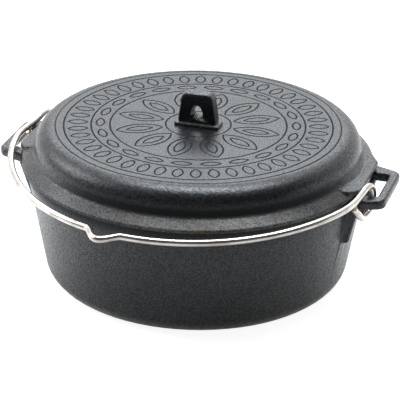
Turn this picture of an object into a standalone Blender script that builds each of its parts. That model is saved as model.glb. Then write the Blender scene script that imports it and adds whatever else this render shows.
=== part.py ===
"""Flat-bottom cast-iron dutch oven: a pot with two loop handles, a lid with a lug, and a wire bail.

Metres, +Z up. The origin is the middle of the flat base, and the handles point along +X and -X.
The bail lies lowered towards -Y. Its two eyes go round opposite arms of the two handles, so its
axis crosses the pot a few degrees off the X axis.
"""
import bmesh
import bpy
from math import acos, asin, atan2, cos, hypot, pi, radians, sin, sqrt
from mathutils import Vector

# Pot body
BASE_R = 0.126          # flat part of the base
CORNER_R = 0.0185       # outer corner between base and wall
RIM_R = 0.1616          # outside of the rim
POT_H = 0.1135          # height of the rim
WALL = 0.0045
FLOOR = 0.0055
RIM_ROUND = 0.0012
ROOT = 0.012            # handles and ribs are cast in this far past the wall, then cut by the cavity
ABOVE_RIM = 0.010       # the cavity's cutter stands this far above the rim

# Handles, cast on just below the rim
HANDLE_REACH = 0.0260   # from the rim's outside to the far side of the grip bar
HANDLE_HALF = 0.0344    # half the grip bar's length, outside
HANDLE_FLARE = 0.375    # how much wider each arm's outside gets per metre towards the pot
HANDLE_CORNER = 0.010
WINDOW_CORNER = 0.0035
GRIP_BAR = 0.009        # width of the grip bar
WINDOW_HALF = 0.0255    # half the width of the finger opening
HANDLE_THICK = 0.009
HANDLE_BELOW_RIM = 0.002
CAST_ROUND = 0.0022     # rounding of cast edges

# Ribs under the handle arms
RIB_DROP = 0.0425       # from the arm's underside to the rib's tip
RIB_TOP_PROUD = 0.0049  # how far the rib stands past the rim's radius line at the arm
RIB_TIP_PROUD = 0.0055  # how far it stands off the wall near its tip
RIB_TIP_HALF = 0.0045
RIB_TIP_H = 0.0040
RIB_LEAN = 0.0040       # the tip lies this much nearer the middle of the handle

# Lid
SEAT_GAP = 0.0003
FLANGE_LIP = 0.0034     # the flange's edge stands this far outside the rim
FLANGE_EDGE = 0.0023    # height of the flange's upright edge
SKIRT_W = 0.0116        # the sloping part of the flange, measured outwards
SKIRT_H = 0.0070
SIDE_H = 0.0061         # upright side above the skirt
SIDE_DRAFT = 0.0008     # the side leans out this much on its way down
CREASE_ROUND = 0.0020
SHOULDER_W = 0.0191
SHOULDER_H = 0.0181
LID_T = 0.0050
GROOVE_HALF = 0.0009    # the ring groove at the edge of the disc
GROOVE_DEEP = 0.0009
RING_DEEP = 0.0040      # locating ring under the flange
RING_W = 0.0042
RING_FIT = 0.0014       # its clearance inside the rim

# Pads on the flange, over the handles
PAD_OVER = 0.0006       # past the flange's edge
PAD_FRONT_HALF = 0.0340
PAD_HALF = 0.0470
PAD_SIDE_X = 0.0095     # how far inside its outer edge the pad is widest
PAD_TOP = 0.0031        # its outer edge stands this far above the flange's edge
PAD_SLOPE = 0.21        # rise per metre towards the crease
PAD_CORNER = 0.0060
PAD_ROUND = 0.0014

# Lug on the lid
LUG_T = 0.0130
LUG_TOP_HALF = 0.0145
LUG_FOOT_HALF = 0.0192
LUG_H = 0.0290
LUG_CORNER = 0.0052
LUG_ROUND = 0.0016
PLINTH_H = 0.0032
PLINTH_MARGIN = 0.0025
HOOK_HOLE_R = 0.0060
HOOK_HOLE_TIP_R = 0.0045
HOOK_HOLE_UP = 0.0098   # centre of the hole above the plinth
HOOK_HOLE_TIP_UP = 0.0036

# Bail
WIRE_R = 0.0032
EYE_GAP = 0.0007        # between the eye's wire and the pads of the lid, measured along X
EYE_ROOM = 0.0018       # between the eye's wire and the corners of the arm
EYE_LENGTHEN = 0.0030   # the eye is drawn out this much behind the arm
LEG_DROP = 0.0010       # the legs and arc lie this far below the top of the eyes
LEG_TURN = radians(12)  # slope at which the leg leaves the eye
LEG_START = radians(71) # where along the arc the legs begin
TAIL_TURN = radians(48)
TAIL_GAP = 0.0010       # between the tail's end and the leg
ARC_GAP = 0.0028        # between the arc's wire and the lid's flange at the front
ARC_BACK = 0.0080       # the arc's centre lies this far behind the pivot axis
KINK_H = 0.0125         # hook kink at mid-span
KINK_HALF = 0.0190
REST_TILT = radians(4.4)

SEGMENTS = 72

# Derived places
HANDLE_X = RIM_R + HANDLE_REACH
HANDLE_TOP = POT_H - HANDLE_BELOW_RIM
PIVOT_Z = HANDLE_TOP - HANDLE_THICK / 2
SEAT_Z = POT_H + SEAT_GAP
FLANGE_R = RIM_R + FLANGE_LIP
EDGE_Z = SEAT_Z + FLANGE_EDGE
SKIRT_R = FLANGE_R - SKIRT_W
SIDE_R = SKIRT_R - SIDE_DRAFT
SIDE_Z = EDGE_Z + SKIRT_H + SIDE_H
DISC_R = SIDE_R - SHOULDER_W
DISC_Z = SIDE_Z + SHOULDER_H


def arm_outside(x):
    """Half width over the arms of a handle at this distance from the pot's axis."""
    return HANDLE_HALF + HANDLE_FLARE * (HANDLE_X - x)


# The eyes go round the middle of an arm, and the arc passes outside the lid
EYE_X = FLANGE_R + PAD_OVER + EYE_GAP + WIRE_R
EYE_Y = (arm_outside(EYE_X) + WINDOW_HALF) / 2
EYE_R = hypot(EYE_Y - WINDOW_HALF, HANDLE_THICK / 2) + EYE_ROOM + WIRE_R
AXIS_TURN = atan2(EYE_Y, EYE_X)
EYE_S = hypot(EYE_X, EYE_Y)
ARC_R = FLANGE_R + ARC_BACK + ARC_GAP + WIRE_R


def clear_scene():
    for thing in list(bpy.data.objects):
        bpy.data.objects.remove(thing, do_unlink=True)


def material(name, colour, roughness, metallic):
    mat = bpy.data.materials.new(name)
    mat.use_nodes = True
    shader = mat.node_tree.nodes["Principled BSDF"]
    shader.inputs["Base Color"].default_value = (*colour, 1.0)
    shader.inputs["Roughness"].default_value = roughness
    shader.inputs["Metallic"].default_value = metallic
    return mat


def arc(centre, radius, start, end, steps, radius_z=None):
    """Points of an arc in a profile; angles in radians from +X, the end point included."""
    rz = radius if radius_z is None else radius_z
    turns = [start + (end - start) * i / steps for i in range(steps + 1)]
    return [(centre[0] + radius * cos(a), centre[1] + rz * sin(a)) for a in turns]


def wall_profile(base_r, corner_r, rim_r, floor_z, top_z, steps=7):
    """Corner arc and straight wall, from the flat floor up to (rim_r, top_z)."""
    centre = (base_r, floor_z + corner_r)
    run, rise = rim_r - centre[0], top_z - centre[1]
    tangent = atan2(rise, run) - acos(corner_r / hypot(run, rise))
    return arc(centre, corner_r, -pi / 2, tangent, steps) + [(rim_r, top_z)]


def wall_radius(z):
    """Outside radius of the pot's wall at height z."""
    low, high = wall_profile(BASE_R, CORNER_R, RIM_R, 0.0, POT_H)[-2:]
    return low[0] + (high[0] - low[0]) * (z - low[1]) / (high[1] - low[1])


def new_object(name, bm, mat=None):
    bmesh.ops.recalc_face_normals(bm, faces=bm.faces)
    mesh = bpy.data.meshes.new(name)
    bm.to_mesh(mesh)
    bm.free()
    thing = bpy.data.objects.new(name, mesh)
    bpy.context.collection.objects.link(thing)
    if mat:
        mesh.materials.append(mat)
    return thing


def revolved(name, profile, mat=None):
    """A solid turned about Z from a profile that starts and ends on the axis."""
    bm = bmesh.new()
    verts = [bm.verts.new((r, 0.0, z)) for r, z in profile]
    edges = [bm.edges.new(pair) for pair in zip(verts, verts[1:])]
    bmesh.ops.spin(bm, geom=verts + edges, cent=(0, 0, 0), axis=(0, 0, 1), angle=2 * pi,
                   steps=SEGMENTS, use_merge=True)
    bmesh.ops.remove_doubles(bm, verts=bm.verts, dist=1e-6)
    return new_object(name, bm, mat)


def rounded_outline(corners, radius, steps=4):
    """A closed outline whose corners are rounded by arcs of one radius, at most 90 degrees each."""
    points = []
    for i, corner in enumerate(corners):
        here = Vector(corner)
        before = (Vector(corners[i - 1]) - here).normalized()
        after = (Vector(corners[(i + 1) % len(corners)]) - here).normalized()
        half = before.angle(after) / 2
        centre = here + (before + after).normalized() * (radius / sin(half))
        start = (here + before * radius * cos(half) / sin(half)) - centre
        end = (here + after * radius * cos(half) / sin(half)) - centre
        for k in range(steps + 1):
            mix = start.lerp(end, k / steps)
            points.append(tuple(centre + mix.normalized() * radius))
    return points


def plate(name, outlines, low, high, edge_round, place):
    """A flat plate: the first outline is its edge, the others are holes.

    place turns an outline's point and a height into a position. An edge_round of 0 leaves the edges crisp."""
    bm = bmesh.new()
    edges = []
    for outline in outlines:
        ring = [bm.verts.new(place(a, b, low)) for a, b in outline]
        edges += [bm.edges.new((ring[i - 1], ring[i])) for i in range(len(ring))]
    bmesh.ops.triangle_fill(bm, edges=edges, use_beauty=True)
    made = bmesh.ops.extrude_face_region(bm, geom=list(bm.faces))
    lift = Vector(place(0, 0, high)) - Vector(place(0, 0, low))
    bmesh.ops.translate(bm, verts=[v for v in made["geom"] if isinstance(v, bmesh.types.BMVert)], vec=lift)
    bmesh.ops.recalc_face_normals(bm, faces=bm.faces)
    if edge_round:
        sharp = [e for e in bm.edges if e.calc_face_angle(0) > radians(60)]
        bmesh.ops.bevel(bm, geom=sharp, offset=edge_round, segments=2, profile=0.5, affect="EDGES")
    return new_object(name, bm)


def combine(target, other, operation):
    """Boolean, applied at once; the second body is removed."""
    step = target.modifiers.new(operation.title(), "BOOLEAN")
    step.operation = operation
    step.object = other
    bpy.context.view_layer.update()
    result = target.evaluated_get(bpy.context.evaluated_depsgraph_get())
    mesh = bpy.data.meshes.new_from_object(result)
    target.modifiers.clear()
    target.data = mesh
    bpy.data.objects.remove(other, do_unlink=True)


def shade(thing, sharp_angle=radians(35)):
    thing.data.shade_smooth()
    thing.data.set_sharp_from_angle(angle=sharp_angle)


def handle(side):
    """One loop handle, level, with its finger opening running in under the wall."""
    inner = RIM_R - ROOT
    outside = [(inner, -arm_outside(inner)), (HANDLE_X, -HANDLE_HALF), (HANDLE_X, HANDLE_HALF),
               (inner, arm_outside(inner))]
    window_in = wall_radius(HANDLE_TOP - HANDLE_THICK) - WALL / 2
    window_out = HANDLE_X - GRIP_BAR
    window = [(window_in, -WINDOW_HALF), (window_out, -WINDOW_HALF), (window_out, WINDOW_HALF),
              (window_in, WINDOW_HALF)]
    outlines = [rounded_outline(outside, HANDLE_CORNER), rounded_outline(window, WINDOW_CORNER)]
    return plate("handle", outlines, HANDLE_TOP - HANDLE_THICK, HANDLE_TOP, CAST_ROUND,
                 lambda x, y, z: (side * x, side * y, z))


def rib(side, flank):
    """A tapered rib under one arm, leaning in towards the middle of the handle as it goes down."""
    top = HANDLE_TOP - HANDLE_THICK / 2
    tip = HANDLE_TOP - HANDLE_THICK - RIB_DROP
    deep = wall_radius(tip) - ROOT
    ridge_top = RIM_R + RIB_TOP_PROUD
    outer, inner = arm_outside(ridge_top), WINDOW_HALF
    tip_y = (outer + inner) / 2 - RIB_LEAN
    shelf = tip + RIB_TIP_H
    ridge_tip = sqrt(wall_radius(shelf) ** 2 - tip_y ** 2) + RIB_TIP_PROUD
    margin = CAST_ROUND / 4   # keeps the rib's sides from lying flush with the arm's
    points = [(ridge_top, outer - margin, top), (ridge_top, inner + margin, top),
              (deep, outer - margin, top), (deep, inner + margin, top)]
    for x, z in ((ridge_tip, shelf), (deep, shelf), (deep, tip)):
        points += [(x, tip_y - RIB_TIP_HALF, z), (x, tip_y + RIB_TIP_HALF, z)]
    bm = bmesh.new()
    verts = [bm.verts.new((side * x, side * flank * y, z)) for x, y, z in points]
    bmesh.ops.convex_hull(bm, input=verts)
    bmesh.ops.dissolve_limit(bm, angle_limit=radians(1), verts=bm.verts, edges=bm.edges)
    bmesh.ops.bevel(bm, geom=list(bm.edges), offset=CAST_ROUND, segments=2, profile=0.5, affect="EDGES")
    return new_object("rib", bm)


def make_pot(mat):
    """The solid casting with its handles and ribs first, then the cavity cut out of it."""
    outer = wall_profile(BASE_R, CORNER_R, RIM_R, 0.0, POT_H - RIM_ROUND)
    lip = arc((RIM_R - RIM_ROUND, POT_H - RIM_ROUND), RIM_ROUND, 0, pi / 2, 2)
    pot = revolved("pot", [(0, 0)] + outer[:-1] + lip + [(0, POT_H)], mat)
    for side in (1, -1):
        combine(pot, handle(side), "UNION")
        for flank in (1, -1):
            combine(pot, rib(side, flank), "UNION")
    bore = RIM_R - WALL
    inner = wall_profile(BASE_R, CORNER_R - WALL, bore, FLOOR, POT_H - RIM_ROUND)
    mouth = arc((bore + RIM_ROUND, POT_H - RIM_ROUND), RIM_ROUND, pi, pi / 2, 2)
    above = POT_H + ABOVE_RIM
    cavity = revolved("cavity", [(0, FLOOR)] + inner[:-1] + mouth + [(mouth[-1][0], above), (0, above)])
    combine(pot, cavity, "DIFFERENCE")
    shade(pot)
    return pot


def lid_profile():
    """Half section of the lid: over the top from the middle outwards, then back underneath."""
    groove = [(DISC_R - GROOVE_HALF, DISC_Z), (DISC_R, DISC_Z - GROOVE_DEEP), (DISC_R + GROOVE_HALF, DISC_Z)]
    shoulder = [p for p in arc((DISC_R, SIDE_Z), SHOULDER_W, pi / 2, 0, 9, SHOULDER_H)
                if p[0] > DISC_R + 2 * GROOVE_HALF]
    slope = SKIRT_H / SKIRT_W
    crease_z = EDGE_Z + SKIRT_H
    crease = [(SKIRT_R - SIDE_DRAFT * CREASE_ROUND / SIDE_H, crease_z + CREASE_ROUND),
              (SKIRT_R + CREASE_ROUND / 4, crease_z + CREASE_ROUND / 4),
              (SKIRT_R + CREASE_ROUND, crease_z - CREASE_ROUND * slope)]
    edge = [(FLANGE_R - RIM_ROUND, EDGE_Z + RIM_ROUND * slope), (FLANGE_R, EDGE_Z - RIM_ROUND / 2),
            (FLANGE_R, SEAT_Z)]
    ring_out = RIM_R - WALL - RING_FIT
    ring_in = ring_out - RING_W
    ring = [(ring_out, SEAT_Z), (ring_out - RING_W / 4, SEAT_Z - RING_DEEP),
            (ring_in + RING_W / 4, SEAT_Z - RING_DEEP), (ring_in, SEAT_Z)]
    hollow_z = SIDE_Z - LID_T / 2
    under_z = DISC_Z - LID_T
    hollow = arc((DISC_R, hollow_z), SHOULDER_W - LID_T, 0, pi / 2, 7, under_z - hollow_z)
    return [(0, DISC_Z)] + groove + shoulder + crease + edge + ring + hollow + [(0, under_z)]


def pad(side):
    """The raised pad of the flange over one handle, its top sloping up to the crease."""
    front = FLANGE_R + PAD_OVER
    back_r = SKIRT_R - CREASE_ROUND
    lean = asin(PAD_HALF / back_r)
    corners = [(front - PAD_SIDE_X, -PAD_HALF), (front, -PAD_FRONT_HALF), (front, PAD_FRONT_HALF),
               (front - PAD_SIDE_X, PAD_HALF), (back_r * cos(lean), PAD_HALF), (back_r * cos(lean), -PAD_HALF)]
    front_corners, steps = 4, 3
    rounded = rounded_outline(corners, PAD_CORNER, steps)[:front_corners * (steps + 1)]
    outline = rounded + arc((0, 0), back_r, lean, -lean, 8)
    return plate("pad", [outline], SEAT_Z + SEAT_GAP, EDGE_Z + PAD_TOP, PAD_ROUND,
                 lambda a, b, z: (side * a, side * b, z + PAD_SLOPE * (front - a)))


def plinth():
    half, deep = LUG_FOOT_HALF + PLINTH_MARGIN, LUG_T / 2 + PLINTH_MARGIN
    corners = [(-half, -deep), (half, -deep), (half, deep), (-half, deep)]
    return plate("plinth", [rounded_outline(corners, PLINTH_MARGIN, 2)], DISC_Z - LID_T / 2, DISC_Z + PLINTH_H,
                 PLINTH_H / 3, lambda a, b, z: (a, b, z))


def lug():
    """The upright plate, flared at its foot."""
    foot, top = DISC_Z, DISC_Z + PLINTH_H + LUG_H
    corners = [(-LUG_FOOT_HALF, foot), (LUG_FOOT_HALF, foot), (LUG_TOP_HALF, top), (-LUG_TOP_HALF, top)]
    return plate("lug", [rounded_outline(corners, LUG_CORNER)], -LUG_T / 2, LUG_T / 2, LUG_ROUND,
                 lambda x, z, y: (x, y, z))


def hook_hole():
    """The cutter of the egg-shaped hole for a lifting hook; the hole keeps a crisp edge."""
    low = DISC_Z + PLINTH_H + HOOK_HOLE_UP
    lean = acos((HOOK_HOLE_R - HOOK_HOLE_TIP_R) / HOOK_HOLE_TIP_UP)
    hole = arc((0, low), HOOK_HOLE_R, pi / 2 + lean, 2 * pi + pi / 2 - lean, 14)
    hole += arc((0, low + HOOK_HOLE_TIP_UP), HOOK_HOLE_TIP_R, pi / 2 - lean, pi / 2 + lean, 6)
    return plate("hook_hole", [hole], -LUG_T, LUG_T, 0, lambda x, z, y: (x, y, z))


def make_lid(mat):
    lid = revolved("lid", lid_profile(), mat)
    for side in (1, -1):
        combine(lid, pad(side), "UNION")
    combine(lid, plinth(), "UNION")
    combine(lid, lug(), "UNION")
    combine(lid, hook_hole(), "DIFFERENCE")
    shade(lid)
    return lid


def bail_arc():
    """Centre line from mid-span to the start of the leg: (along the axis, forward) pairs."""
    kink_turn = KINK_HALF / ARC_R
    turns = [kink_turn * i / 9 for i in range(9)]
    turns += [kink_turn + (LEG_START - kink_turn) * i / 14 for i in range(15)]
    points = []
    for turn in turns:
        bump = KINK_H * (0.5 + 0.5 * cos(pi * min(turn / kink_turn, 1)))
        points.append(((ARC_R + bump) * sin(turn), (ARC_R + bump) * cos(turn) - ARC_BACK))
    return points


def bail_eye():
    """The eye and its tail, from the end of the leg: (forward, up) pairs about the pivot axis."""
    over = arc((0, 0), EYE_R, pi / 2 - LEG_TURN, pi / 2, 1)
    behind = arc((-EYE_LENGTHEN, 0), EYE_R, pi / 2, 3 * pi / 2, 9)
    under = arc((0, 0), EYE_R, 3 * pi / 2, 3 * pi / 2 + TAIL_TURN, 3)
    turn_f, turn_up = under[-1]
    end_up = EYE_R - LEG_DROP - WIRE_R - TAIL_GAP - WIRE_R * cos(TAIL_TURN)
    end_f = turn_f + (end_up - turn_up) * cos(TAIL_TURN) / sin(TAIL_TURN)
    return over + behind + under + [(end_f, end_up)]


def bezier(p0, p1, p2, p3, steps):
    """Points strictly between the ends of a cubic."""
    points = []
    for i in range(1, steps):
        t = i / steps
        points.append(p0 * (1 - t) ** 3 + p1 * 3 * t * (1 - t) ** 2 + p2 * 3 * t ** 2 * (1 - t) + p3 * t ** 3)
    return points


def bail_half():
    """Centre line from mid-span to the tail of one eye, in the bail's own frame."""
    up = EYE_R - LEG_DROP
    arc_points = [Vector((along, -forward, up)) for along, forward in bail_arc()]
    eye_points = [Vector((EYE_S, -forward, z)) for forward, z in bail_eye()]
    leaving = Vector((cos(LEG_START), sin(LEG_START), 0))
    entering = Vector((0, cos(LEG_TURN), sin(LEG_TURN)))
    reach = (eye_points[0] - arc_points[-1]).length / 3
    leg = bezier(arc_points[-1], arc_points[-1] + leaving * reach, eye_points[0] - entering * reach,
                 eye_points[0], 7)
    return arc_points + leg + eye_points


def make_bail(mat):
    """One bent wire; its origin is on the pivot axis, midway between the eyes."""
    half = bail_half()
    other = [Vector((-p.x, p.y, p.z)) for p in reversed(half[1:])]
    points = other + half
    curve = bpy.data.curves.new("bail", "CURVE")
    curve.dimensions = "3D"
    curve.bevel_depth = WIRE_R
    curve.bevel_resolution = 3
    curve.use_fill_caps = True
    spline = curve.splines.new("POLY")
    spline.points.add(len(points) - 1)
    for target, point in zip(spline.points, points):
        target.co = (*point, 1.0)
    spline.use_smooth = True
    curve.materials.append(mat)
    bail = bpy.data.objects.new("bail", curve)
    bpy.context.collection.objects.link(bail)
    bail.location = (0, 0, PIVOT_Z)
    bail.rotation_euler = (REST_TILT, 0, -AXIS_TURN)
    return bail


def main():
    clear_scene()
    make_pot(material("pot_iron", (0.045, 0.047, 0.050), 0.55, 0.6))
    make_lid(material("lid_iron", (0.075, 0.078, 0.083), 0.55, 0.6))
    make_bail(material("bail_steel", (0.72, 0.70, 0.67), 0.22, 1.0))


main()
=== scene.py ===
# %% [markdown]
# # A cast-iron camp oven
# The oven is two sand castings and one bent wire. The CAD frame already holds their true shapes, so this
# lesson is about the rest: smooth shading, lines cut into the lid, a bright drawn wire, and seasoned iron
# that looks cast and not painted. First the frame is loaded.

# %% Load the frame
from math import atan2, cos, degrees, hypot, pi, radians, sin

import bmesh
import bpy
from mathutils import Matrix, Vector


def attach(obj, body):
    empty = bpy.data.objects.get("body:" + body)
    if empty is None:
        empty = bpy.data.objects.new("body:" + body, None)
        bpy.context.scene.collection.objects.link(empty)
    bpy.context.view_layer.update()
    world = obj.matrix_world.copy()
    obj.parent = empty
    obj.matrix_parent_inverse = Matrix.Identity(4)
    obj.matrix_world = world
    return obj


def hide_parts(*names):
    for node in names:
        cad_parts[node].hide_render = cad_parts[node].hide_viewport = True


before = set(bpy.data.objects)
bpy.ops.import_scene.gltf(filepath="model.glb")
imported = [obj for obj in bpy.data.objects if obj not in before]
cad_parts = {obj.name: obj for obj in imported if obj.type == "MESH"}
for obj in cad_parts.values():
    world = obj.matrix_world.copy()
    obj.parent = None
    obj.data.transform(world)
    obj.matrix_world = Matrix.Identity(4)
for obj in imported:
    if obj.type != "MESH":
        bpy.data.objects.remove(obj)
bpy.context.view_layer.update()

# %% [markdown]
# Shader maths is easier to read as an expression than as a row of nodes. One small class wraps a socket and
# gives it operators, so `1 - mask * 0.5` adds its own Math nodes. The bench makes every other kind of node.

# %% A socket that can be used in sums
class Value:
    """One output socket that can be used in sums."""

    def __init__(self, bench, socket):
        self.bench, self.socket = bench, socket

    def _sum(self, operation, first, second):
        return self.bench.node("Math", {"operation": operation}, {0: first, 1: second})

    def __add__(self, other):
        return self._sum("ADD", self, other)

    def __sub__(self, other):
        return self._sum("SUBTRACT", self, other)

    def __mul__(self, other):
        return self._sum("MULTIPLY", self, other)

    def __rsub__(self, other):
        return self._sum("SUBTRACT", other, self)

    __radd__, __rmul__ = __add__, __mul__

    def between(self, low, high):
        """0 below low, 1 above high, smooth in between."""
        settings = {"interpolation_type": "SMOOTHSTEP"}
        return self.bench.node("MapRange", settings, {"Value": self, "From Min": low, "From Max": high})


print("made", Value)

# %% Shader bench
class Bench:
    """A material or world and its nodes, and one way to add a node."""

    def __init__(self, name, kind="materials"):
        self.material = getattr(bpy.data, kind).new(name)
        self.material.use_nodes = True
        self.tree = self.material.node_tree
        self.shader = self.tree.nodes.get("Principled BSDF")

    def node(self, kind, settings=None, inputs=None, output=0):
        made = self.tree.nodes.new("ShaderNode" + kind)
        for key, value in (settings or {}).items():
            setattr(made, key, value)
        self.feed(made, inputs or {})
        return Value(self, made.outputs[output])

    def feed(self, target, inputs):
        for key, value in inputs.items():
            if isinstance(value, Value):
                self.tree.links.new(value.socket, target.inputs[key])
            else:
                target.inputs[key].default_value = value

    def noise(self, place, scale, detail=2.0, roughness=0.5):
        return self.node("TexNoise", {}, {"Vector": place, "Scale": scale, "Detail": detail,
                                          "Roughness": roughness})

    def dot(self, place, direction):
        """How far a place lies in a direction."""
        return self.node("VectorMath", {"operation": "DOT_PRODUCT"}, {0: place, 1: direction}, output=1)

    def blend(self, factor, first, second):
        """Mix of two colours."""
        mix = self.tree.nodes.new("ShaderNodeMix")
        mix.data_type = "RGBA"
        self.feed(mix, {0: factor, 6: first, 7: second})
        return Value(self, mix.outputs[2])

    def rays(self):
        """Two masks: 1 where the camera looks straight at this, and 1 where a reflection does."""
        path = self.tree.nodes.new("ShaderNodeLightPath")
        return Value(self, path.outputs["Is Camera Ray"]), Value(self, path.outputs["Is Glossy Ray"])


# A trial, to count the nodes: writing the expression is enough to add them.
trial = Bench("trial")
before = len(trial.tree.nodes)
1 - trial.node("Value") * 0.5
print("nodes made by 1 - value * 0.5:", len(trial.tree.nodes) - before)
bpy.data.materials.remove(trial.material)

# %% [markdown]
# ## Seasoned cast iron
# A sand mould leaves grains about two millimetres across, with coarser unevenness below them. Baked oil
# turns the iron black-grey and satin, browner in patches, under a thin gloss that glints point by point. An
# image texture would need unwrapping and would show its seams, so all of it is noise in object coordinates.
# One bump is built from two sizes of noise. The same grains speckle the colour, because on a dark wall under
# soft light a bump alone hardly shows. The shader's coat is the film of oil, broken up by a finer noise.
#
# Where hands and tongs rub the seasoning off, the iron is paler, drier and browner. On the lid the same
# paler colour is also a painted highlight, on its flange, most at the front, and along the lug foot's edge.
# Painted shade makes the iron black and dull under the handles and the lid, at the front of the dome's foot,
# and in the ring groove and the cut lines. Masks say where, and each casting brings its own.

# %% Masks by height and radius
def higher(bench, place, low, high):
    """0 below one height, 1 above a greater one."""
    return bench.node("SeparateXYZ", {}, {0: place}, output=2).between(low, high)


def beyond(bench, place, inner, outer):
    """0 inside a radius about the oven's axis, 1 outside a larger one."""
    flat = bench.node("VectorMath", {"operation": "MULTIPLY"}, {0: place, 1: (1.0, 1.0, 0.0)})
    return bench.node("VectorMath", {"operation": "LENGTH"}, {0: flat}, output=1).between(inner, outer)


print("masks:", higher.__name__, "and", beyond.__name__)

# %% Places on the pot
# Each pair says over which heights or radii a mask fades, in metres.
FOOT_FADE = 0.003, 0.014
HANDLES_FADE = 0.166, 0.176
UNDER_RIM_FADE = 0.094, 0.111
OUTSIDE_WALL_FADE = 0.164, 0.168


def worn_pot(bench, place):
    """The foot of the wall, and the handles outside it."""
    foot = 1 - higher(bench, place, *FOOT_FADE)
    return foot * 0.6 + beyond(bench, place, *HANDLES_FADE) * 0.08


def painted_shade_pot(bench, place):
    """Painted shade at the top of the wall, in the corner under the handles and the lid's flange."""
    on_wall = 1 - beyond(bench, place, *OUTSIDE_WALL_FADE)
    return higher(bench, place, *UNDER_RIM_FADE) * on_wall * 0.9


# %% Places on the lid
DISC_TOP = 0.1473    # height of the disc
DISC_EDGE = 0.1343   # radius just inside the outer edge of the ring groove
SUNK_FADE = DISC_TOP - 0.0006, DISC_TOP - 0.0001
DISC_EDGE_FADE = DISC_EDGE, DISC_EDGE + 0.0004
LUG_FOOT_FADES = (DISC_TOP + 0.0006, DISC_TOP + 0.0012), (DISC_TOP + 0.0034, DISC_TOP + 0.0044)
FLANGE_FADE = 0.150, 0.156
DOME_FADES = (0.147, 0.151), (0.1530, 0.1548)
DOME_FOOT_FADE = 0.128, 0.136
FRONT = 0.35, -0.937, 0.0   # towards the camera, where wear, painted highlight and painted shade are strongest
FRONT_WEAR_AND_HIGHLIGHT_FADE, FRONT_PAINTED_SHADE_FADE = (0.120, 0.158), (0.060, 0.125)


def wear_and_highlight_lid(bench, place):
    """Paler places: the flange and its pads, most of all at the front, and the edge of the lug's foot."""
    lower, upper = LUG_FOOT_FADES
    # Painted highlight along the edge of the lug's foot.
    foot = higher(bench, place, *lower) - higher(bench, place, *upper)
    front = bench.dot(place, FRONT).between(*FRONT_WEAR_AND_HIGHLIGHT_FADE)
    # Flange and pads: wear, and a painted highlight that is strongest at the front.
    return beyond(bench, place, *FLANGE_FADE) * (front * 0.42 + 0.17) + foot * 0.40


def painted_shade_lid(bench, place):
    """Painted shade in the ring groove, in the lines cut into the disc, and at the front of the dome's foot.
    """
    sunk = (1 - higher(bench, place, *SUNK_FADE)) * (1 - beyond(bench, place, *DISC_EDGE_FADE))
    inner, outer = DOME_FADES
    corner = (1 - higher(bench, place, *DOME_FOOT_FADE)) * beyond(bench, place, *inner)
    corner = corner * (1 - beyond(bench, place, *outer))
    return sunk + corner * (bench.dot(place, FRONT).between(*FRONT_PAINTED_SHADE_FADE) * 0.95)


# Painted shade fills the ring groove and the cut lines, out to DISC_EDGE.
print("disc of the lid: height %.1f mm, soot out to radius %.1f mm" % (1000 * DISC_TOP, 1000 * DISC_EDGE))

# %% Colour of the iron
# Noise scales are cells a metre, so a larger one is finer.
CLOUDS, PATCHES, BLOTCHES, LUMPS, SPECKS, SAND, FINE = 26.0, 42.0, 55.0, 170.0, 300.0, 430.0, 760.0
# Black, for the dark grains and for the painted shade.
GRAIN_AND_SHADE_BLACK = 0.0025, 0.0028, 0.0033, 1.0
BROWN_OIL = 0.070, 0.052, 0.036, 1.0
# Paler colours for worn places; on the lid they are also a painted highlight.
BARE_AND_LIT_GREY, BARE_AND_LIT_BROWN = (0.250, 0.238, 0.220, 1.0), (0.205, 0.140, 0.090, 1.0)
RUST = 0.24, 0.10, 0.035, 1.0


def iron_colour(bench, place, cloud, grains, wear_and_highlight, painted_shade, dark, light):
    """Two blacks of iron, brown patches, dark grains, wear and painted highlight, rust specks, painted shade.
    """
    patches = bench.noise(place, PATCHES, 5.0, 0.72)
    tone = bench.blend(cloud.between(0.35, 0.68), dark, light)
    tone = bench.blend(patches.between(0.55, 0.72) * 0.40, tone, BROWN_OIL)
    tone = bench.blend((1 - grains) * 0.88, tone, GRAIN_AND_SHADE_BLACK)
    bare_and_lit = bench.blend(patches.between(0.48, 0.64), BARE_AND_LIT_GREY, BARE_AND_LIT_BROWN)
    # Wear, and on the lid a painted highlight: masked places turn paler.
    tone = bench.blend(wear_and_highlight, tone, bare_and_lit)
    specks = bench.noise(place, SPECKS, 2.0).between(0.755, 0.80)
    tone = bench.blend(specks * 0.5, tone, RUST)
    # Painted shade: the masked places are blended to black.
    return bench.blend(painted_shade * 0.95, tone, GRAIN_AND_SHADE_BLACK)


print("coarsest noise %.0f mm, finest %.1f mm" % (1000 / CLOUDS, 1000 / FINE))

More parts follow.
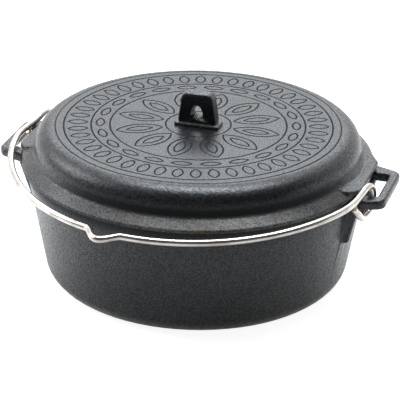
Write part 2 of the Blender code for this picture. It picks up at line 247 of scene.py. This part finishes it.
# %% Cast iron
def cast_iron(name, dark, light, grain, wear_and_highlight_place, painted_shade_place):
    bench = Bench(name)
    place = bench.node("TexCoord", output=3)
    cloud = bench.noise(place, CLOUDS, 4.0)
    sand = bench.noise(place, SAND, 2.0, 0.6)
    lumps = bench.noise(place, LUMPS, 3.0, 0.55)
    grains = sand.between(0.38, 0.62)
    blotched = bench.noise(place, BLOTCHES, 4.0, 0.65).between(0.20, 0.52)
    fine = bench.noise(place, FINE, 1.0).between(0.40, 0.60)
    # Paler places: wear, and on the lid a painted highlight as well.
    wear_and_highlight = wear_and_highlight_place(bench, place) * blotched * (fine * 0.45 + grains * 0.25 + 0.30)
    # Painted shade, from the casting's own mask; it also makes the iron rougher and thins the coat there.
    painted_shade = painted_shade_place(bench, place)
    tone = iron_colour(bench, place, cloud, grains, wear_and_highlight, painted_shade, dark, light)
    height = sand * 0.6 + lumps * 0.4
    bump = bench.node("Bump", {}, {"Strength": grain, "Distance": 0.0010, "Height": height})
    rough = 0.37 + (cloud - 0.5) * 0.16 + (sand - 0.5) * 0.30 + wear_and_highlight * 0.25 + painted_shade * 0.35
    film = fine * (1 - painted_shade) * 0.75
    bench.feed(bench.shader, {"Base Color": tone, "Normal": bump, "Roughness": rough, "Coat Weight": film})
    bench.shader.inputs["Coat Roughness"].default_value = 0.29
    bench.shader.inputs["Metallic"].default_value = 0.0
    bench.shader.inputs["Specular IOR Level"].default_value = 0.36
    return bench.material


pot_tones = (0.0095, 0.0104, 0.0113, 1), (0.020, 0.022, 0.024, 1)
lid_tones = (0.0085, 0.0097, 0.0112, 1), (0.019, 0.021, 0.024, 1)
pot_iron = cast_iron("pot_iron", *pot_tones, 0.95, worn_pot, painted_shade_pot)
lid_iron = cast_iron("lid_iron", *lid_tones, 0.62, wear_and_highlight_lid, painted_shade_lid)
print("irons:", pot_iron.name, lid_iron.name)

# %% [markdown]
# ## Drawn steel wire
# The bail is bright wire pulled through a die, which leaves fine lines that run along it. They can't come
# from object coordinates, because the wire bends. So the wire will carry two attributes, how far along it
# and how far round it each point lies, and noise stretched between them gives the lines.

# %% Bail steel
BRIGHT, HANDLED = (0.80, 0.755, 0.70, 1), (0.60, 0.51, 0.44, 1)


def drawn_steel():
    bench = Bench("bail_steel")
    along = bench.node("Attribute", {"attribute_name": "along"}, output=2)
    around = bench.node("Attribute", {"attribute_name": "around"}, output=2)
    unrolled = bench.node("CombineXYZ", {}, {"X": along * 18.0, "Y": around * 9.0})
    lines = bench.noise(unrolled, 3.0, 3.0)
    handling = bench.noise(bench.node("TexCoord", output=3), 60.0, 4.0)
    tone = bench.blend(handling.between(0.42, 0.66), BRIGHT, HANDLED)
    bump = bench.node("Bump", {}, {"Strength": 0.12, "Distance": 0.0002, "Height": lines})
    rough = 0.16 + lines * 0.10 + handling * 0.08
    bench.feed(bench.shader, {"Base Color": tone, "Normal": bump, "Roughness": rough})
    bench.shader.inputs["Metallic"].default_value = 1.0
    return bench.material


bail_steel = drawn_steel()
print("steel:", bail_steel.name)

# %% [markdown]
# ## The two castings
# Pot and lid could be modelled again as subdivision surfaces, but their shapes would then drift from the
# frame's. The frame's own meshes are loose triangles, as exchange files hold them, and would shade flat. A
# merged copy can be smoothed. Faces that meet at more than 34 degrees stay crisp, which keeps the edges of
# the casting. Level faces stay flat, so that the disc shades evenly round whatever is cut into it. A Weighted
# Normal modifier lets large faces lead the shading of the small ones beside them.

# %% Checking and shading a mesh
CREASE = radians(34)
LEVEL = 0.9998


def open_edges(mesh):
    """How many edges don't have exactly two faces; a closed body has none."""
    work = bmesh.new()
    work.from_mesh(mesh)
    count = sum(not edge.is_manifold for edge in work.edges)
    work.free()
    return count


def shade(mesh):
    """Smooth, but crisp at creases, and flat where the casting is level."""
    mesh.shade_smooth()
    mesh.set_sharp_from_angle(angle=CREASE)
    for face in mesh.polygons:
        if abs(face.normal.z) > LEVEL:
            face.use_smooth = False


print("open edges of the pot before it is merged:", open_edges(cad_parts["pot"].data))

# %% Plain meshes and carving
def evaluated_mesh(thing):
    """What an object's modifiers make of it, as a plain mesh."""
    bpy.context.view_layer.update()
    return bpy.data.meshes.new_from_object(thing.evaluated_get(bpy.context.evaluated_depsgraph_get()))


def carved(mesh, cutter):
    """The mesh with a second closed mesh taken out of it."""
    body, tool = bpy.data.objects.new("body", mesh), bpy.data.objects.new("tool", cutter)
    for thing in (body, tool):
        bpy.context.collection.objects.link(thing)
    cut = body.modifiers.new("cut", "BOOLEAN")
    cut.operation, cut.solver, cut.use_self, cut.object = "DIFFERENCE", "EXACT", True, tool
    result = evaluated_mesh(body)
    for thing in (body, tool):
        bpy.data.objects.remove(thing, do_unlink=True)
    return result


print("helpers:", evaluated_mesh.__name__, "and", carved.__name__)

# %% Smooth copy of the pot
MERGE, THIN = 1e-5, 2e-5


def finish_piece(name, mesh, node, body, weighted=False):
    """Make the mesh a piece that rides on a body and stands for a CAD node."""
    piece = bpy.data.objects.new(name, mesh)
    bpy.context.collection.objects.link(piece)
    if weighted:
        piece.modifiers.new("weigh", "WEIGHTED_NORMAL").keep_sharp = True
    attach(piece, body)
    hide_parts(node)
    print(name, len(mesh.polygons), "faces, open edges", open_edges(mesh))


def smooth_copy(node, finish, cutter=None):
    """A merged copy of a CAD node; a cutter is taken out of it before it is smoothed."""
    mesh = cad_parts[node].data.copy()
    work = bmesh.new()
    work.from_mesh(mesh)
    bmesh.ops.remove_doubles(work, verts=work.verts, dist=MERGE)
    bmesh.ops.dissolve_degenerate(work, edges=work.edges, dist=THIN)
    work.to_mesh(mesh)
    work.free()
    if cutter:
        mesh = carved(mesh, cutter)
    shade(mesh)
    mesh.materials.clear()
    mesh.materials.append(finish)
    return mesh


pot_mesh = smooth_copy("pot", pot_iron)
finish_piece("pot_casting", pot_mesh, "pot", "pot_body", weighted=True)

# %% [markdown]
# ## Ornament on the lid
# The lid's disc carries lines about 0.8 mm deep. A bump alone would fade at low angles and leave the mesh
# flat, so they are really cut. They repeat round the middle, so Geometry Nodes suit them: one leaf is drawn
# from two arcs, given a round section, and set round a ring. The tree takes its sizes as inputs, so the same
# tree makes the borders of leaves and the large rosette. What it makes is a cutter, which is then taken out
# of the lid. Cut lines catch real shadow, and the lid's material paints shade into them as well, so they read
# dark, as lines on old iron do.

# %% Helpers for node trees
def tree_node(tree):
    """A function that adds a node to this tree, with its settings and its sockets' values or links."""
    def node(kind, settings=None, inputs=None):
        made = tree.nodes.new(kind)
        for key, value in (settings or {}).items():
            setattr(made, key, value)
        for key, value in (inputs or {}).items():
            if isinstance(value, bpy.types.NodeSocket):
                tree.links.new(value, made.inputs[key])
            else:
                made.inputs[key].default_value = value
        return made
    return node


def grown(tree, start, values):
    """What the tree makes of a mesh or curve, as a plain mesh."""
    host = bpy.data.objects.new("host", start)
    bpy.context.collection.objects.link(host)
    step = host.modifiers.new("grow", "NODES")
    step.node_group = tree
    for item in tree.interface.items_tree:
        if item.in_out == "INPUT" and item.name in values:
            step[item.identifier] = values[item.name]
    mesh = evaluated_mesh(host)
    host.modifiers.remove(step)
    bpy.data.objects.remove(host, do_unlink=True)
    return mesh


print("helpers:", tree_node.__name__, "and", grown.__name__)

# %% One leaf of two arcs
LEAF_STEPS, BAR_SIDES = 13, 8


def leaf_bars(tree, node, sums, given):
    """Two arcs that meet at their tips, as bars with a round section."""
    def point(x, y):
        return node("ShaderNodeCombineXYZ", inputs={"X": x, "Y": y}).outputs[0]

    half = sums("MULTIPLY", given.outputs["Length"], 0.5)
    bulge = sums("MULTIPLY", given.outputs["Width"], 0.5)
    back = sums("MULTIPLY", half, -1.0)
    leaf = node("GeometryNodeJoinGeometry")
    for sign in (1.0, -1.0):
        middle = point(0.0, sums("MULTIPLY", bulge, sign))
        ends = {"Start": point(back, 0.0), "Middle": middle, "End": point(half, 0.0)}
        arc = node("GeometryNodeCurveArc", {"mode": "POINTS"}, {"Resolution": LEAF_STEPS, **ends})
        tree.links.new(arc.outputs["Curve"], leaf.inputs[0])
    section = node("GeometryNodeCurvePrimitiveCircle", {"mode": "RADIUS"},
                   {"Resolution": BAR_SIDES, "Radius": given.outputs["Bar"]})
    return node("GeometryNodeCurveToMesh", inputs={
        "Curve": leaf.outputs[0], "Profile Curve": section.outputs["Curve"], "Fill Caps": True})


print("points on one leaf:", 2 * LEAF_STEPS)

# %% A tree that sets leaves round a ring
def leaf_ring_tree(name):
    tree = bpy.data.node_groups.new(name, "GeometryNodeTree")
    tree.interface.new_socket("Count", in_out="INPUT", socket_type="NodeSocketInt")
    for label in ("Ring", "Length", "Width", "Turn", "Lift", "Bar"):
        tree.interface.new_socket(label, in_out="INPUT", socket_type="NodeSocketFloat")
    tree.interface.new_socket("Finish", in_out="INPUT", socket_type="NodeSocketMaterial")
    tree.interface.new_socket("Geometry", in_out="OUTPUT", socket_type="NodeSocketGeometry")
    given = tree.nodes.new("NodeGroupInput")
    node = tree_node(tree)

    def sums(operation, first, second):
        return node("ShaderNodeMath", {"operation": operation}, {0: first, 1: second}).outputs[0]

    bars = leaf_bars(tree, node, sums, given)
    index = node("GeometryNodeInputIndex").outputs[0]
    angle = sums("MULTIPLY", index, sums("DIVIDE", 2 * pi, given.outputs["Count"]))
    spot = node("ShaderNodeCombineXYZ", inputs={
        "X": sums("MULTIPLY", given.outputs["Ring"], sums("COSINE", angle, 0.0)),
        "Y": sums("MULTIPLY", given.outputs["Ring"], sums("SINE", angle, 0.0)),
        "Z": given.outputs["Lift"]})
    points = node("GeometryNodePoints", inputs={"Count": given.outputs["Count"], "Position": spot.outputs[0]})
    turned = node("ShaderNodeCombineXYZ", inputs={"Z": sums("ADD", angle, given.outputs["Turn"])})
    spread = node("GeometryNodeInstanceOnPoints", inputs={
        "Points": points.outputs[0], "Instance": bars.outputs[0], "Rotation": turned.outputs[0]})
    real = node("GeometryNodeRealizeInstances", inputs={"Geometry": spread.outputs[0]})
    done = node("GeometryNodeSetMaterial", inputs={
        "Geometry": real.outputs[0], "Material": given.outputs["Finish"]})
    out = tree.nodes.new("NodeGroupOutput")
    tree.links.new(done.outputs[0], out.inputs[0])
    return tree


leaf_tree = leaf_ring_tree("leaves_round_a_ring")
print("nodes in the tree:", len(leaf_tree.nodes))

# %% [markdown]
# Ring lines close the bands of leaves. They are plain tori. Their middle lies a little above the disc, so
# that no corner of a bar falls just on its surface, which would leave slivers when they are cut out.

# %% Ring lines
LINE_R = 0.0009
LINE_LIFT = 0.00012
LINE_Z = DISC_TOP + LINE_LIFT


def ring_line(work, radius, around=144, section=8):
    rows = []
    for i in range(around):
        turn = 2 * pi * i / around
        row = []
        for k in range(section):
            a = 2 * pi * k / section
            far = radius + LINE_R * cos(a)
            row.append(work.verts.new((far * cos(turn), far * sin(turn), LINE_Z + LINE_R * sin(a))))
        rows.append(row)
    for i in range(around):
        for k in range(section):
            work.faces.new((rows[i - 1][k - 1], rows[i][k - 1], rows[i][k], rows[i - 1][k]))


print("depth of the lines, mm: %.2f" % (1000 * (LINE_R - LINE_LIFT)))

# %% Cutter for the lines
BANDS = (
    {"Count": 44, "Ring": 0.1125, "Length": 0.0185, "Width": 0.0092, "Turn": 0.0},
    {"Count": 22, "Ring": 0.0915, "Length": 0.0190, "Width": 0.0075, "Turn": pi / 2},
    {"Count": 12, "Ring": 0.0560, "Length": 0.0440, "Width": 0.0200, "Turn": 0.0},
    {"Count": 12, "Ring": 0.0560, "Length": 0.0250, "Width": 0.0090, "Turn": 0.0},
)
RING_LINES = 0.1255, 0.1000, 0.0825, 0.0305


def outward(work):
    """Merge what touches and turn every face outwards."""
    bmesh.ops.remove_doubles(work, verts=work.verts, dist=1e-6)
    bmesh.ops.recalc_face_normals(work, faces=work.faces)


work = bmesh.new()
for band in BANDS:
    sizes = dict(band, Lift=LINE_Z, Bar=LINE_R, Finish=lid_iron)
    work.from_mesh(grown(leaf_tree, bpy.data.meshes.new("band"), sizes))
for radius in RING_LINES:
    ring_line(work, radius)
outward(work)
line_cutter = bpy.data.meshes.new("line_cutter")
work.to_mesh(line_cutter)
work.free()
print("cutter faces", len(line_cutter.polygons))

# %% Lid with its lines
lid_mesh = smooth_copy("lid", lid_iron, line_cutter)
finish_piece("lid_casting", lid_mesh, "lid", "lid_body", weighted=True)

# %% [markdown]
# ## The bail
# On the real oven one wire is bent along one path: an arc with a kink in the middle, two legs, and an eye at
# each end. The path is worked out point by point with the sizes of the CAD wire, only in finer steps, and
# its kink stands out 0.1 mm less, so that it stays inside the CAD's box. The ends are drawn as if filed
# round, so the last points get a smaller radius.

# %% Sizes of the bail
WIRE_R = 0.0032
EYE_X, EYE_Y = 0.1695, 0.03334375   # middle of an eye, from the oven's axis
EYE_R = 0.014043                    # to the middle of the wire
EYE_LENGTHEN = 0.003                # the eye is drawn out this much behind the arm
LEG_DROP = 0.001                    # the legs and arc lie this far below the top of the eyes
LEG_TURN = radians(12)              # slope at which a leg leaves its eye
LEG_START = radians(71)             # where along the arc the legs begin
TAIL_TURN = radians(48)             # how far the wire turns on under the arm, before its straight tail
TAIL_GAP = 0.001                    # between the tail's end and the leg
ARC_R, ARC_BACK = 0.179, 0.008      # the arc's centre lies this far behind the pivot axis
KINK_H, KINK_HALF = 0.0124, 0.019   # how far the hook kink stands out, and half its width
REST_TILT = radians(4.4)            # the lowered bail slopes down to the front by this much
PIVOT_Z = 0.107
AXIS_TURN, EYE_S = atan2(EYE_Y, EYE_X), hypot(EYE_X, EYE_Y)
print("angle of the bail's axis off X, degrees: %.1f" % degrees(AXIS_TURN))

# %% Arc and kink
KINK_STEPS, ARC_STEPS = 24, 60


def arc_points(up):
    """Half of the arc, from the middle of the kink to the start of a leg."""
    kink_turn = KINK_HALF / ARC_R
    turns = [kink_turn * i / KINK_STEPS for i in range(KINK_STEPS)]
    turns += [kink_turn + (LEG_START - kink_turn) * i / ARC_STEPS for i in range(ARC_STEPS + 1)]
    points = []
    for turn in turns:
        reach = ARC_R + KINK_H * (0.5 + 0.5 * cos(pi * min(turn / kink_turn, 1)))
        points.append(Vector((reach * sin(turn), ARC_BACK - reach * cos(turn), up)))
    return points


arc = arc_points(EYE_R - LEG_DROP)
print("points on half of the arc:", len(arc))

# %% Eye and leg
LEAD_STEPS, EYE_STEPS, TAIL_STEPS, LEG_STEPS = 4, 36, 12, 24


def circle_part(centre, start, end, steps):
    turns = [start + (end - start) * i / steps for i in range(steps + 1)]
    return [(centre + EYE_R * cos(a), EYE_R * sin(a)) for a in turns]


def eye_points():
    """From the leg over and round the arm, to the end of the tail that lies back under the leg."""
    eye = circle_part(0, pi / 2 - LEG_TURN, pi / 2, LEAD_STEPS)
    eye += circle_part(-EYE_LENGTHEN, pi / 2, 3 * pi / 2, EYE_STEPS)
    eye += circle_part(0, 3 * pi / 2, 3 * pi / 2 + TAIL_TURN, TAIL_STEPS)
    end_up = EYE_R - LEG_DROP - WIRE_R - TAIL_GAP - WIRE_R * cos(TAIL_TURN)
    run, rise = eye[-1]
    eye.append((run + (end_up - rise) * cos(TAIL_TURN) / sin(TAIL_TURN), end_up))
    return [Vector((EYE_S, -forward, z)) for forward, z in eye]


def leg_points(a, d):
    """A smooth cubic from the end of the arc to the start of the eye."""
    reach = (d - a).length / 3
    b = a + Vector((cos(LEG_START), sin(LEG_START), 0)) * reach
    c = d - Vector((0, cos(LEG_TURN), sin(LEG_TURN))) * reach
    steps = [i / LEG_STEPS for i in range(1, LEG_STEPS)]
    return [a * (1 - t) ** 3 + b * 3 * t * (1 - t) ** 2 + c * 3 * t * t * (1 - t) + d * t ** 3
            for t in steps]


eye = eye_points()
leg = leg_points(arc[-1], eye[0])
print("points on a leg and an eye:", len(leg), len(eye))

# %% The whole path, in place
SAME_POINT = 1e-5


def whole_path():
    half = arc + leg + eye
    path = [Vector((-p.x, p.y, p.z)) for p in reversed(half[1:])] + half
    path = [p for i, p in enumerate(path) if i == 0 or (p - path[i - 1]).length > SAME_POINT]
    turned = Matrix.Rotation(-AXIS_TURN, 4, "Z") @ Matrix.Rotation(REST_TILT, 4, "X")
    return [Matrix.Translation((0, 0, PIVOT_Z)) @ turned @ p for p in path]


path = whole_path()
wire_length = sum((b - a).length for a, b in zip(path, path[1:]))
print("wire length mm %.0f" % (1000 * wire_length), "points", len(path))

# %% Filed ends
END_ROUND = 0.0008
END_TURNS = 0, pi / 6, pi / 3, pi / 2


def filed(points):
    """The path with a few closer points at each end, and each point's share of the full radius."""
    tips = [(END_ROUND * (1 - cos(a)), 1 - END_ROUND / WIRE_R * (1 - sin(a))) for a in END_TURNS]
    first, last = (points[1] - points[0]).normalized(), (points[-2] - points[-1]).normalized()
    start = [(points[0] + first * far, share) for far, share in tips]
    end = [(points[-1] + last * far, share) for far, share in reversed(tips)]
    return start + [(p, 1.0) for p in points[1:-1]] + end


path_with_ends = filed(path)
print("radius at the tip, mm: %.1f" % (1000 * WIRE_R * path_with_ends[0][1]))

# %% [markdown]
# A wire is the plainest thing that follows a path, so Geometry Nodes sweep a round section along it. The
# drawn lines of the finish have to follow the wire through every bend. So the path stores how far along
# each point lies, and the section stores how far round, and both reach the mesh as attributes for the
# material. The way round is counted there and back, from 1 down to 0 and up again, so that the lines meet
# without a seam.

# %% A tree that sweeps a wire
def wire_tree(name):
    tree = bpy.data.node_groups.new(name, "GeometryNodeTree")
    for label, kind in (("Path", "NodeSocketGeometry"), ("Radius", "NodeSocketFloat"),
                        ("Around", "NodeSocketInt"), ("Finish", "NodeSocketMaterial")):
        tree.interface.new_socket(label, in_out="INPUT", socket_type=kind)
    tree.interface.new_socket("Wire", in_out="OUTPUT", socket_type="NodeSocketGeometry")
    node = tree_node(tree)
    given = tree.nodes.new("NodeGroupInput")
    per_point = {"data_type": "FLOAT", "domain": "POINT"}
    length = node("GeometryNodeSplineParameter").outputs["Length"]
    measured = node("GeometryNodeStoreNamedAttribute", per_point,
                    {"Geometry": given.outputs["Path"], "Name": "along", "Value": length})
    section = node("GeometryNodeCurvePrimitiveCircle", {"mode": "RADIUS"},
                   {"Resolution": given.outputs["Around"], "Radius": given.outputs["Radius"]})
    factor = node("GeometryNodeSplineParameter").outputs["Factor"]
    twice = node("ShaderNodeMath", {"operation": "MULTIPLY_ADD"}, {0: factor, 1: 2.0, 2: -1.0}).outputs[0]
    there_and_back = node("ShaderNodeMath", {"operation": "ABSOLUTE"}, {0: twice}).outputs[0]
    marked = node("GeometryNodeStoreNamedAttribute", per_point,
                  {"Geometry": section.outputs["Curve"], "Name": "around", "Value": there_and_back})
    share = node("GeometryNodeInputRadius").outputs[0]
    swept = node("GeometryNodeCurveToMesh", inputs={
        "Curve": measured.outputs[0], "Profile Curve": marked.outputs[0], "Scale": share, "Fill Caps": True})
    real = node("GeometryNodeRealizeInstances", inputs={"Geometry": swept.outputs[0]})
    done = node("GeometryNodeSetMaterial", inputs={
        "Geometry": real.outputs[0], "Material": given.outputs["Finish"]})
    out = tree.nodes.new("NodeGroupOutput")
    tree.links.new(done.outputs[0], out.inputs[0])
    return tree


bail_tree = wire_tree("wire_along_a_path")
print("nodes in the tree:", len(bail_tree.nodes))

# %% Sweep the wire
WIRE_SIDES = 20
WIRE_CREASE = radians(50)


def path_curve(points):
    curve = bpy.data.curves.new("bail_path", "CURVE")
    curve.dimensions = "3D"
    spline = curve.splines.new("POLY")
    spline.points.add(len(points) - 1)
    for target, (place, share) in zip(spline.points, points):
        target.co = (*place, 1.0)
        target.radius = share
    return curve


wire_sizes = {"Radius": WIRE_R, "Around": WIRE_SIDES, "Finish": bail_steel}
wire_mesh = grown(bail_tree, path_curve(path_with_ends), wire_sizes)
work = bmesh.new()
work.from_mesh(wire_mesh)
outward(work)
work.to_mesh(wire_mesh)
work.free()
wire_mesh.shade_smooth()
wire_mesh.set_sharp_from_angle(angle=WIRE_CREASE)
finish_piece("bail_wire", wire_mesh, "bail", "bail_body")
print("attributes", [a.name for a in wire_mesh.attributes])

# %% [markdown]
# ## Floor, light and camera
# The floor is near white and takes the oven's shadow. More lamps would turn it white, but they would bleach
# the iron as well. So the floor glows instead: everywhere to the camera, and beside and behind the oven to
# reflections. The room is bright behind the oven and to its left, and dark on the camera's side, as in a
# studio. That is what gives black iron its bright flanks and its dark front.

# %% Floor
WHITE = 1, 1, 1, 1
BRIGHT_SIDE = -0.45, 0.893, 0.0
FLOOR_REACH, FLOOR_Z = 6.0, -0.0004


def floor_finish():
    bench = Bench("studio_white")
    seen, mirrored = bench.rays()
    beside = bench.dot(bench.node("TexCoord", output=3), BRIGHT_SIDE).between(-0.35, 0.15)
    glow = seen * 0.90 + mirrored * beside * 0.74
    bench.feed(bench.shader, {"Emission Strength": glow, "Emission Color": WHITE})
    bench.shader.inputs["Base Color"].default_value = (0.60, 0.60, 0.60, 1)
    bench.shader.inputs["Roughness"].default_value = 0.9
    bench.shader.inputs["Specular IOR Level"].default_value = 0.0
    return bench.material


floor_mesh = bpy.data.meshes.new("floor")
signs = (-1, -1), (1, -1), (1, 1), (-1, 1)
floor_mesh.from_pydata([(x * FLOOR_REACH, y * FLOOR_REACH, FLOOR_Z) for x, y in signs], [], [(0, 1, 2, 3)])
floor_mesh.materials.append(floor_finish())
floor = bpy.data.objects.new("floor", floor_mesh)
bpy.context.collection.objects.link(floor)
print("side of the floor, m:", 2 * FLOOR_REACH)

# %% World
DARK_SIDE_LIGHT, BRIGHT_SIDE_LIGHT = 0.072, 0.72

air = Bench("studio", "worlds")
bpy.context.scene.world = air.material
air.tree.nodes.clear()
direction = air.dot(air.node("TexCoord", output=0), BRIGHT_SIDE)
room = DARK_SIDE_LIGHT + direction.between(-0.35, 0.45) * BRIGHT_SIDE_LIGHT
seen, mirrored = air.rays()
white = air.node("Background", {}, {"Color": WHITE, "Strength": 1.0})
lit = air.node("Background", {}, {"Color": (0.97, 0.985, 1, 1), "Strength": room})
shows_white = seen + mirrored * direction.between(0.10, 0.50)
both = air.node("MixShader", {}, {0: shows_white, 1: lit, 2: white})
end = air.tree.nodes.new("ShaderNodeOutputWorld")
air.tree.links.new(both.socket, end.inputs[0])
print("world nodes", len(air.tree.nodes))

# %% [markdown]
# One even sky would light the iron alike from all sides and leave it grey and flat. Four soft boxes shape it
# instead. The one behind draws the sheen over the disc, the one above lights the dome's shoulder and the
# flange, the one at the left lights that side, and a faint low one keeps the right flank from going black.
# They are large, so that shadows have soft edges, and slightly cool, because the iron in the photograph is.

# %% Lamps
LAMP_COLOUR = 0.87, 0.94, 1.0


def soft_box(name, place, aim, size, power):
    lamp = bpy.data.lights.new(name, "AREA")
    lamp.shape = "RECTANGLE"
    lamp.size, lamp.size_y = size
    lamp.energy = power
    lamp.color = LAMP_COLOUR
    thing = bpy.data.objects.new(name, lamp)
    thing.location = place
    thing.rotation_euler = (Vector(aim) - Vector(place)).to_track_quat("-Z", "Y").to_euler()
    bpy.context.collection.objects.link(thing)
    return lamp


lamps = (soft_box("back_box", (-0.6, 2.0, 1.5), (0, 0, 0.12), (2.2, 1.0), 18),
         soft_box("top_box", (0.0, 0.25, 1.6), (0, 0, 0.12), (1.2, 0.7), 27),
         soft_box("left_box", (-1.6, -0.1, 1.15), (-0.1, 0, 0.1), (1.1, 0.9), 14),
         soft_box("right_box", (1.8, 0.45, 0.40), (0.1, 0, 0.0), (1.3, 0.7), 3))
print("lamps, W:", {lamp.name: lamp.energy for lamp in lamps})

# %% [markdown]
# The camera stands where the photograph's camera was solved to be: a long lens, 27 degrees above the floor
# and 17 degrees round to the right, with no lens shift, so that the other views stay centred.

# %% Camera
CAMERA_PLACE = 0.5241, -1.6892, 0.8959
YAW, PITCH, ROLL = radians(-17.155), radians(-25.0535), radians(0.8641)
LENS_MM, SENSOR_MM = 185.17, 36.0

forward = Vector((cos(PITCH) * sin(YAW), cos(PITCH) * cos(YAW), sin(PITCH)))
right = Vector((cos(YAW), -sin(YAW), 0))
up = right.cross(forward)
rolled_right = right * cos(ROLL) + up * sin(ROLL)
rolled_up = up * cos(ROLL) - right * sin(ROLL)
turn = Matrix((rolled_right, rolled_up, -forward)).transposed().to_4x4()
camera_data = bpy.data.cameras.new("photo_camera")
camera_data.lens, camera_data.sensor_width = LENS_MM, SENSOR_MM
camera_data.clip_end = 20.0
camera = bpy.data.objects.new("photo_camera", camera_data)
camera.matrix_world = Matrix.Translation(CAMERA_PLACE) @ turn
bpy.context.collection.objects.link(camera)
bpy.context.scene.camera = camera
bpy.context.scene.view_settings.view_transform = "Standard"
print("camera's distance, m: %.2f" % Vector(CAMERA_PLACE).length)
